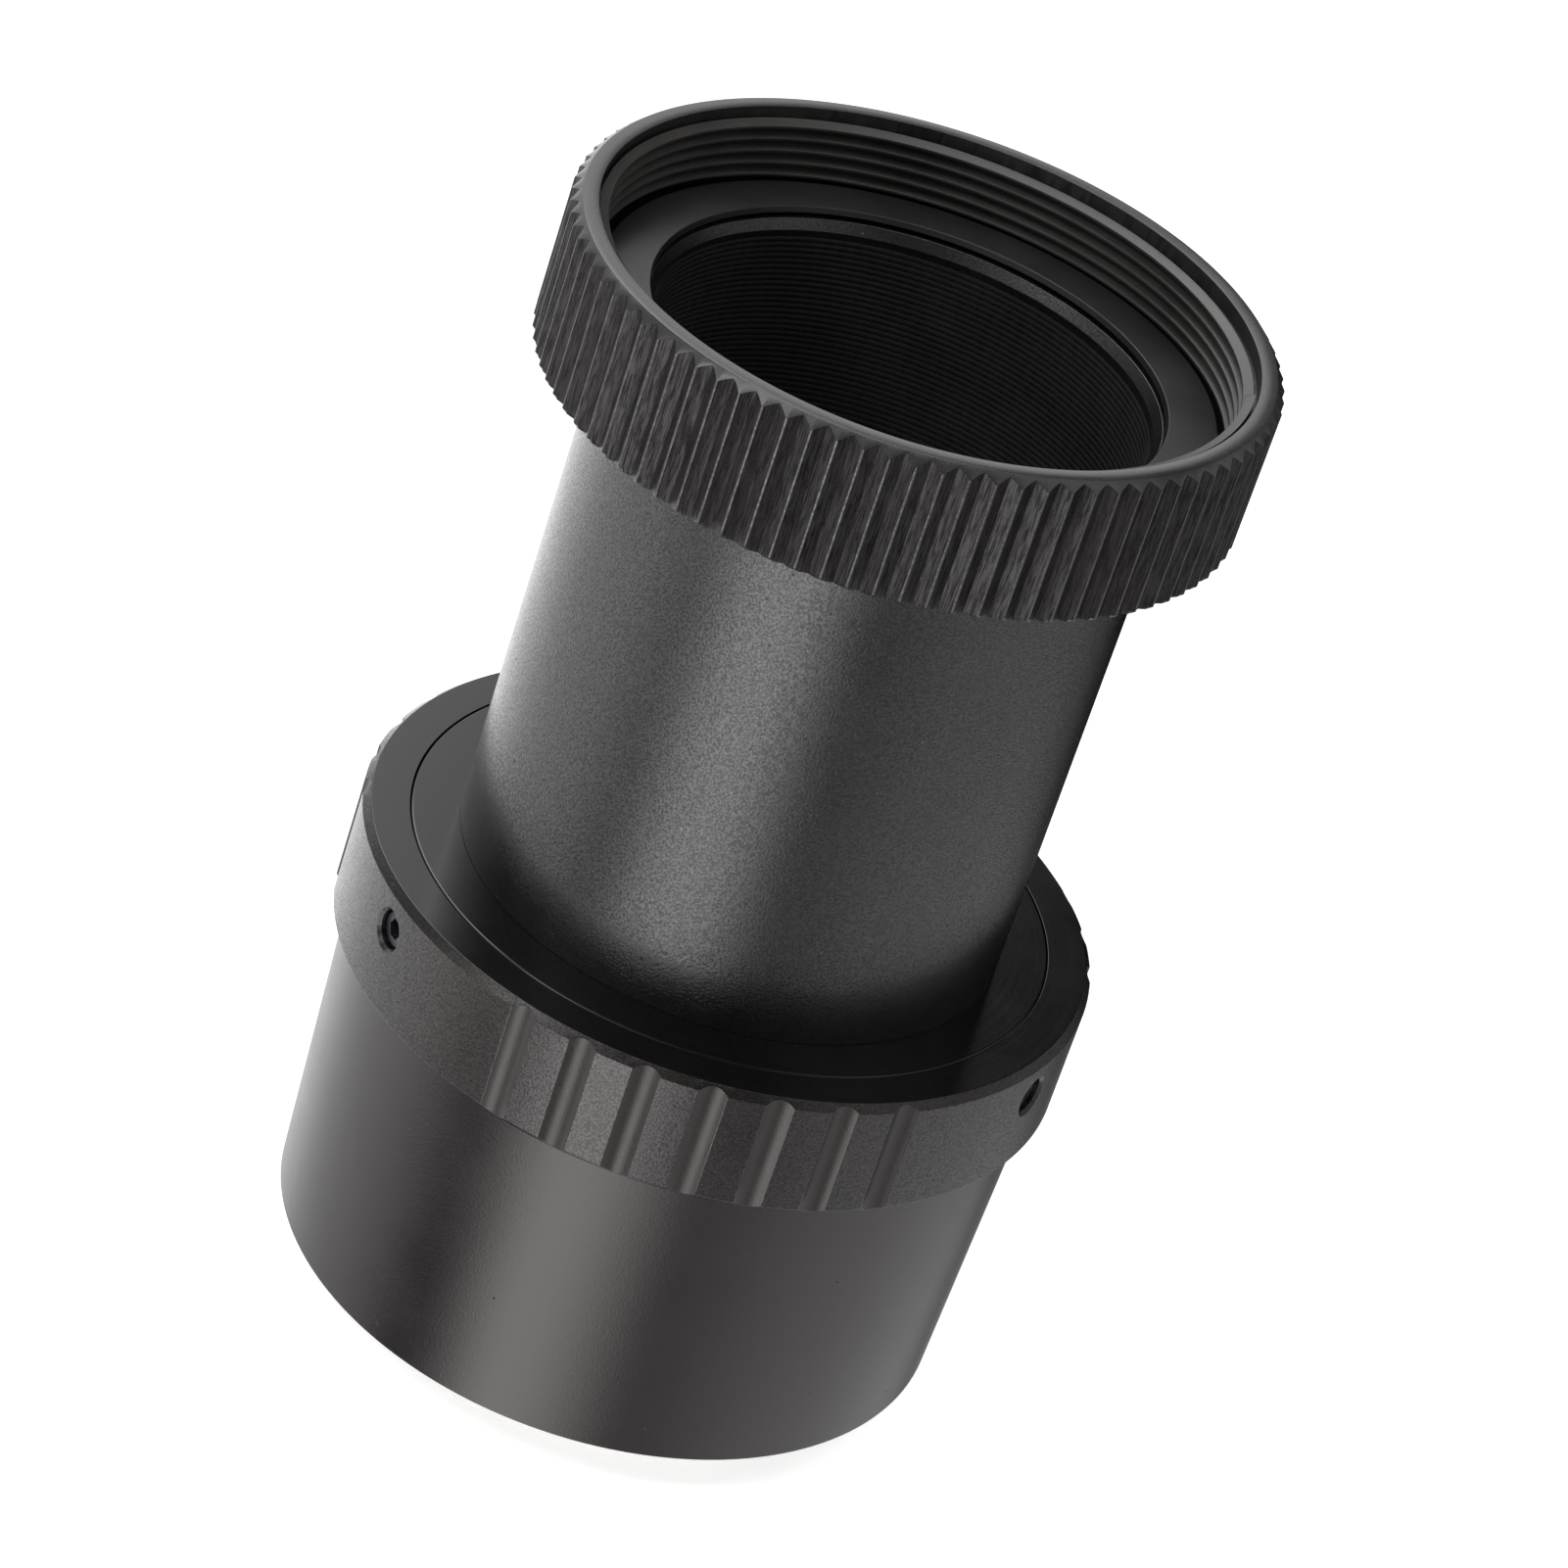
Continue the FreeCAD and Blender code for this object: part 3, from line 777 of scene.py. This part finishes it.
def makeSetScrews():
    screw = turned("set_screw_1_socket", setScrew["section"], steps=48, closed=False)
    clearSelection()
    corner = mm(setScrew["socket"] / math.sqrt(3))
    depth = mm(2 * setScrew["socketDepth"])
    bpy.ops.mesh.primitive_cylinder_add(vertices=6, radius=corner, depth=depth)
    socket = bpy.context.object
    editMode(socket)
    selectVertices(socket, lambda place: place.z < 0)
    bpy.ops.mesh.inset(thickness=mm(setScrew["socketInset"]), depth=0)
    turnAndMove(socket, offset=(0, 0, setScrew["top"]))
    cut(screw, socket)
    shade(screw, angle=25)
    turnAndMove(screw, turnBy=(0, 90, 0))
    turnAndMove(screw, offset=(0, 0, grip["screwLevel"]))
    pieces = [screw, copyOf(screw, "set_screw_2_socket"), copyOf(screw, "set_screw_3_socket")]
    for number, piece in enumerate(pieces):
        turnAndMove(piece, turnBy=(0, 0, grip["screwAzimuths"][number]))
        node = f"set_screw_{number + 1}"
        dress(piece, node, node, [screwSteel])


makeSetScrews()
print("set screws made")

tube = {
    "section": [(19.65, 32.7), (20.97, 32.7), (20.97, 37.3), (22.25, 37.3), (22.25, 84.1), (21.4, 84.1),
                (21.4, 85.7), (20.15, 85.7), (19.65, 84.85)],
    "edge": 0.06,
}
baffle = {
    "section": [(19.67, 0.0), (19.60, 0.2), (19.60, 0.26), (19.67, 0.46)],   # levels from the foot up
    "foot": 33.2,
    "pitch": 0.5,
    "turns": 102,
    "steps": 96,
}
flange = {
    "section": [(21.42, 84.1), (24.2, 84.1), (24.2, 86.6), (20.36, 86.6), (20.2, 86.1), (21.42, 86.1)],
    "edge": 0.05,
}

makeTurned("adapter_tube_turned", tube, "tube", "adapter_tube", tubeBlack)
makeRidge("tube_baffle_thread", baffle, "tube", boreBlack)
makeTurned("seat_flange_turned", flange, "tube", "seat_flange", flangeBlack)
print("tube and flange made")

couplingRing = {
    "section": [(22.6, 80.3), (27.6, 80.3), (27.9, 80.6), (27.9, 91.52), (27.12, 92.3), (25.85, 92.3),
                (25.85, 91.0), (25.45, 91.0), (25.45, 86.75), (26.0, 86.75), (26.0, 83.6), (22.6, 83.6)],
    "grooves": 88,
    "grooveDepth": 0.56,
    "landAngle": 0.123,
    "wallSteps": 3,
    "wallHollow": 0.35,              # 0 is a flat wall
    "valleyAzimuth": 237.85,
    "rimBand": (80.0, 80.4),         # levels between which each row of the outer wall's vertices lies
    "footBand": (80.4, 81.0),
    "topBand": (91.0, 92.0),
    "rimChamfer": 0.3,
    "column": {"halfWidth": 0.1, "beyond": 27.5},    # degrees, and the reach where the outer wall starts
    "edge": 0.032,
    "knurlReach": 26.9,              # reaches and slopes that part the finishes
    "landReach": 27.83,
    "wallSlope": 0.5,
    "boreReach": 26.5,
    "boreTop": 92.2,
}
telescopeThread = {
    "section": [(25.6, 0.0), (24.85, 0.36), (24.85, 0.58), (25.6, 0.94)],    # levels from the foot up
    "foot": 85.9,
    "pitch": 1.058,
    "turns": 5,
    "steps": 192,
    "edge": 0.04,
}


def makeCouplingRing():
    # one groove is swept and sunk, then copied round
    pitch = 360 / couplingRing["grooves"]
    land = couplingRing["landAngle"]
    wall = pitch / 2 - land
    steps = couplingRing["wallSteps"]
    hollow = couplingRing["wallHollow"]
    column = couplingRing["column"]
    start = couplingRing["valleyAzimuth"] - pitch / 2
    piece = drawSection("coupling_ring_knurled", couplingRing["section"], azimuth=start)
    sweep(land)
    sweep(2 * wall, 2 * steps)
    sweep(land)
    for number in range(1 - steps, steps):
        # hollow walls: steep below the crest, flatter towards the valley
        azimuth = couplingRing["valleyAzimuth"] + wall * number / steps
        share = abs(number) / steps
        depth = couplingRing["grooveDepth"] * (1 - share * (1 - hollow + hollow * share))
        rimDepth = max(depth - couplingRing["rimChamfer"], 0)
        pushColumn(piece, azimuth, column, couplingRing["rimBand"], rimDepth)
        pushColumn(piece, azimuth, column, couplingRing["footBand"], depth)
        pushColumn(piece, azimuth, column, couplingRing["topBand"], depth, lift=depth)
    selectAll()
    sweep(360 - pitch, couplingRing["grooves"] - 1, copies=True)
    closeMesh()
    roundEdges(piece, couplingRing["edge"], limit=17)
    shade(piece, angle=15)
    finishes = [ringBlack, knurlBlack, threadBlack, crestEdge]
    paintCouplingRing(piece, finishes)
    dress(piece, "coupling_ring", "coupling_ring", finishes)


def paintCouplingRing(piece, finishes):
    def onKnurl(place, normal):
        return reachOf(place) > couplingRing["knurlReach"] and upright(normal, couplingRing["wallSlope"])

    def inBore(place, normal):
        return reachOf(place) < couplingRing["boreReach"] and place.z < couplingRing["boreTop"]

    def onLand(place, normal):
        return reachOf(place) > couplingRing["landReach"] and upright(normal, couplingRing["wallSlope"])

    paintFaces(piece, finishes.index(knurlBlack), onKnurl)
    paintFaces(piece, finishes.index(threadBlack), inBore)
    paintFaces(piece, finishes.index(crestEdge), onLand)


makeCouplingRing()
makeRidge("telescope_thread_ridge", telescopeThread, "coupling_ring", ridgeBlack)
print("coupling ring made")

bayonet = {
    "section": [(19.8, -3.5), (21.7, -3.5), (21.7, -2.1), (20.6, -2.1), (20.6, 0.0), (26.0, 0.0),
                (26.0, 2.2), (19.8, 2.2)],
    "edge": 0.12,
    "gap": [(20.6, -4.0), (23.0, -4.0), (23.0, -2.1), (20.6, -2.1)],
    "gapAngle": 66.0,
    "gapSteps": 33,
    "gapCentres": (45.0, 165.0, 285.0),
    "pinHole": [(0, -1), (1.1, -1), (1.1, 1.6), (0, 1.6)],
    "pinReach": 23.4,
    "pinAzimuth": 90.0,
    "screwHole": [(0, -1), (2.9, -1), (1.9, 0), (1.05, 0.85), (1.05, 3), (0, 3)],
}
screws = {
    "section": [(0.0, 0.05), (1.75, 0.05), (1.85, 0.12), (0.97, 0.9), (0.97, 4.3), (0.85, 4.45),
                (0.0, 4.45)],
    "headLevel": 0.05,
    "edge": 0.04,
    "reach": 24.0,
    "azimuths": (45.0, 135.0, 225.0, 315.0),
    "crossLength": 2.0,
    "crossWidth": 0.42,
    "crossDepth": 0.55,
    "crossTurn": 31.0,       # each screw's cross is turned on by this from the one before
}


def makeBayonet():
    piece = turned("bayonet_mount_turned", bayonet["section"])
    gaps = []
    for centre in bayonet["gapCentres"]:
        gap = drawSection("gap", bayonet["gap"], azimuth=centre - bayonet["gapAngle"] / 2)
        sweep(bayonet["gapAngle"], bayonet["gapSteps"])
        capEnds(bayonet["gap"])
        gaps.append(gap)
    cut(piece, joined(gaps, "gaps"))
    roundEdges(piece, bayonet["edge"])
    pin = turned("pin_hole", bayonet["pinHole"], steps=40)
    turnAndMove(pin, offset=spot(bayonet["pinReach"], bayonet["pinAzimuth"]))
    holes = [pin]
    for azimuth in screws["azimuths"]:
        hole = turned("screw_hole", bayonet["screwHole"], steps=40)
        turnAndMove(hole, offset=spot(screws["reach"], azimuth))
        holes.append(hole)
    cut(piece, joined(holes, "holes"))
    shade(piece, angle=25)
    dress(piece, "camera_side", "bayonet_mount", [mountChrome])


def makeScrews():
    screw = turned("bayonet_screw", screws["section"], steps=48)
    length, width = screws["crossLength"], screws["crossWidth"]
    for across, along in ((length, width), (width, length)):
        clearSelection()
        bpy.ops.mesh.primitive_cube_add(size=mm(1), scale=(across, along, 2 * screws["crossDepth"]))
        bar = bpy.context.object
        turnAndMove(bar, offset=(0, 0, screws["headLevel"]))
        cut(screw, bar)
    roundEdges(screw, screws["edge"], segments=2)
    shade(screw, angle=25)
    pieces = [screw] + [copyOf(screw, f"bayonet_screw_{number}") for number in (2, 3, 4)]
    for number, piece in enumerate(pieces):
        turnAndMove(piece, turnBy=(0, 0, screws["crossTurn"] * number))
        turnAndMove(piece, offset=spot(screws["reach"], screws["azimuths"][number]))
    four = joined(pieces, "bayonet_screws_crosshead")
    dress(four, "camera_side", "bayonet_screws", [brightSteel])


makeBayonet()
makeScrews()
print("bayonet made")

floorPlane = {
    "level": -3.5,
    "width": 3000.0,
    "glow": 0.62,            # keeps the floor white to the camera and leaves the shadow
    "sockets": {
        "Base Color": grey(0.8),
        "Roughness": 0.9,
        "Specular IOR Level": 0.0,
        "Emission Color": grey(1.0),
    },
}
studio = {
    "fill": 0.55,            # light from all round on matt surfaces
    "mostBright": 4.0,
    # Gloss mirrors a brightness that is given by azimuth for each zone, from the table up. A zone takes
    # over from the one before between two heights of the direction, -1 straight down and 1 straight up.
    "zones": [
        ("tableFar", -0.62, -0.48),
        ("wallLow", -0.2, 0.25),
        ("wallHigh", 0.43, 0.49),
        ("ceiling", 0.47, 0.60),
        ("overhead", 0.92, 0.98),
    ],
    "tableNear": [(0, 1.0), (17, 1.0), (34, 0.95), (50, 0.75), (66, 0.2), (80, 0.6), (92, 1.1),
                  (100, 0.8), (114, 1.1), (130, 1.25), (146, 1.05), (162, 0.95), (179, 0.85), (195, 0.5),
                  (210, 0.05), (222, 0.2), (233, 1.3), (245, 3.0), (263, 2.6), (278, 1.6), (293, 0.5),
                  (311, 0.65), (328, 0.85), (344, 1.0)],
    "tableFar": [(0, 0.6), (16, 0.4), (33, 0.16), (49, 0.08), (62, 0.0), (80, 0.0), (92, 0.1), (98, 0.8),
                 (104, 1.6), (131, 1.4), (163, 1.2), (180, 1.55), (196, 1.9), (212, 1.25), (226, 1.5),
                 (238, 3.5), (250, 4.0), (264, 4.0), (275, 1.7), (289, 0.0), (303, 0.62), (327, 0.85),
                 (344, 0.7)],
    "wallLow": [(0, 0.5), (27, 0.5), (42, 0.3), (56, 0.08), (82, 0.1), (86, 0.22), (87.7, 0.35),
                (88.6, 0.8), (89.6, 1.3), (92, 1.3), (94, 0.95), (110, 1.1), (126, 0.9), (140, 0.85),
                (153, 0.5), (165, 0.4), (203, 0.9), (240, 0.6), (280, 0.2), (335, 0.6)],
    "wallHigh": [(0, 0.4), (20, 0.2), (40, 0.08), (60, 0.02), (86.8, 0.01), (88, 0.25), (90, 0.6),
                 (92.5, 0.85), (94.1, 1.4), (100, 1.5), (140, 1.0), (165, 0.2), (180, 0.5), (280, 0.2),
                 (335, 0.6)],
    "ceiling": [(0, 0.5), (11, 0.4), (20, 0.2), (60, 0.02), (88, 0.0), (94, 1.0), (100, 3.0), (120, 4.0),
                (145, 3.0), (165, 0.3), (187, 0.5), (200, 1.0), (208, 3.4), (216, 2.2), (236, 0.65),
                (250, 0.45), (280, 0.1), (304, 0.08), (318, 0.3), (335, 0.5), (352, 0.65)],
    "overhead": [(0, 2.5)],
}
# metres and watts; a lamp points at the axis at the level of its aim
lamps = {
    "left_softbox": {
        "azimuth": 215,
        "elevation": 48,
        "distance": 1.1,
        "aim": 0.05,
        "size": 0.5,
        "power": 6.0,
    },
    "right_softbox": {
        "azimuth": 20,
        "elevation": 50,
        "distance": 1.2,
        "aim": 0.05,
        "size": 0.6,
        "power": 3.0,
    },
}
# location and nearest distance are in metres
viewpoint = {
    "location": (0.001615, -0.415617, 0.294770),
    "turn": (57.7496, -16.1535, 9.9563),
    "sensorWidth": 36,
    "lens": 141.458,
    "clipStart": 0.01,
}


def makeFloor():
    clearSelection()
    where = (0, 0, mm(floorPlane["level"]))
    bpy.ops.mesh.primitive_plane_add(size=mm(floorPlane["width"]), location=where)
    floor = bpy.context.object
    floor.name = "floor"
    material = bpy.data.materials.new("floor_white")
    material.use_nodes = True
    material.cycles.emission_sampling = "NONE"
    shader = material.node_tree.nodes["Principled BSDF"]
    setSockets(shader, floorPlane["sockets"])
    glow = Wire(material.node_tree).node("LightPath", output="Is Camera Ray") * floorPlane["glow"]
    material.node_tree.links.new(glow.socket, shader.inputs["Emission Strength"])
    floor.data.materials.append(material)
    floor.visible_glossy = False   # gloss mirrors the studio's brightness instead


def byAzimuth(azimuth, levels):
    # brightness round the horizon; a colour ramp stops at 1, so it holds a share of the most there is
    most = studio["mostBright"]
    stops = [(angle / 360, grey(level / most)) for angle, level in levels]
    stops.append((1.0, stops[0][1]))
    return azimuth.node("ValToRGB", {"stops": stops}, {0: azimuth}) * most


def makeWorld():
    world = bpy.data.worlds.new("studio")
    bpy.context.scene.world = world
    world.use_nodes = True
    world.cycles.sampling_method = "NONE"
    start = Wire(world.node_tree)
    background = world.node_tree.nodes["Background"]
    setSockets(background, {"Color": grey(1.0)})
    x, y, z = start.node("TexCoord", output="Generated").split()
    azimuth = start.work("FRACT", start.work("ARCTAN2", y, x) * (0.5 / math.pi) + 1.0)
    mirrored = byAzimuth(azimuth, studio["tableNear"])
    for name, low, high in studio["zones"]:
        reached = z.ramp(low, high, shape="SMOOTHSTEP")
        mirrored = mirrored + reached * (byAzimuth(azimuth, studio[name]) - mirrored)
    camera = start.node("LightPath", output="Is Camera Ray")
    glossy = start.node("LightPath", output="Is Glossy Ray")
    strength = camera + (1 - camera) * (studio["fill"] + glossy * (mirrored - studio["fill"]))
    world.node_tree.links.new(strength.socket, background.inputs["Strength"])


def makeLight(name, light):
    clearSelection()
    elevation = math.radians(light["elevation"])
    reach = light["distance"] * math.cos(elevation)
    level = light["aim"] + light["distance"] * math.sin(elevation)
    bpy.ops.object.light_add(
        type="AREA",
        location=spot(reach, light["azimuth"], level),
        rotation=[math.radians(angle) for angle in (90 - light["elevation"], 0, light["azimuth"] + 90)],
    )
    lamp = bpy.context.object
    lamp.name = name
    lamp.data.shape = "RECTANGLE"
    lamp.data.size = light["size"]
    lamp.data.size_y = light["size"]
    lamp.data.energy = light["power"]
    lamp.visible_glossy = False   # gloss mirrors the studio's brightness instead


def makeCamera():
    clearSelection()
    turn = [math.radians(angle) for angle in viewpoint["turn"]]
    bpy.ops.object.camera_add(location=viewpoint["location"], rotation=turn)
    camera = bpy.context.object
    camera.data.sensor_width = viewpoint["sensorWidth"]
    camera.data.lens = viewpoint["lens"]
    camera.data.clip_start = viewpoint["clipStart"]
    bpy.context.scene.camera = camera


makeFloor()
makeWorld()
for name, light in lamps.items():
    makeLight(name, light)
makeCamera()
bpy.context.scene.view_settings.view_transform = "Standard"
print("stage, lights and camera ready")
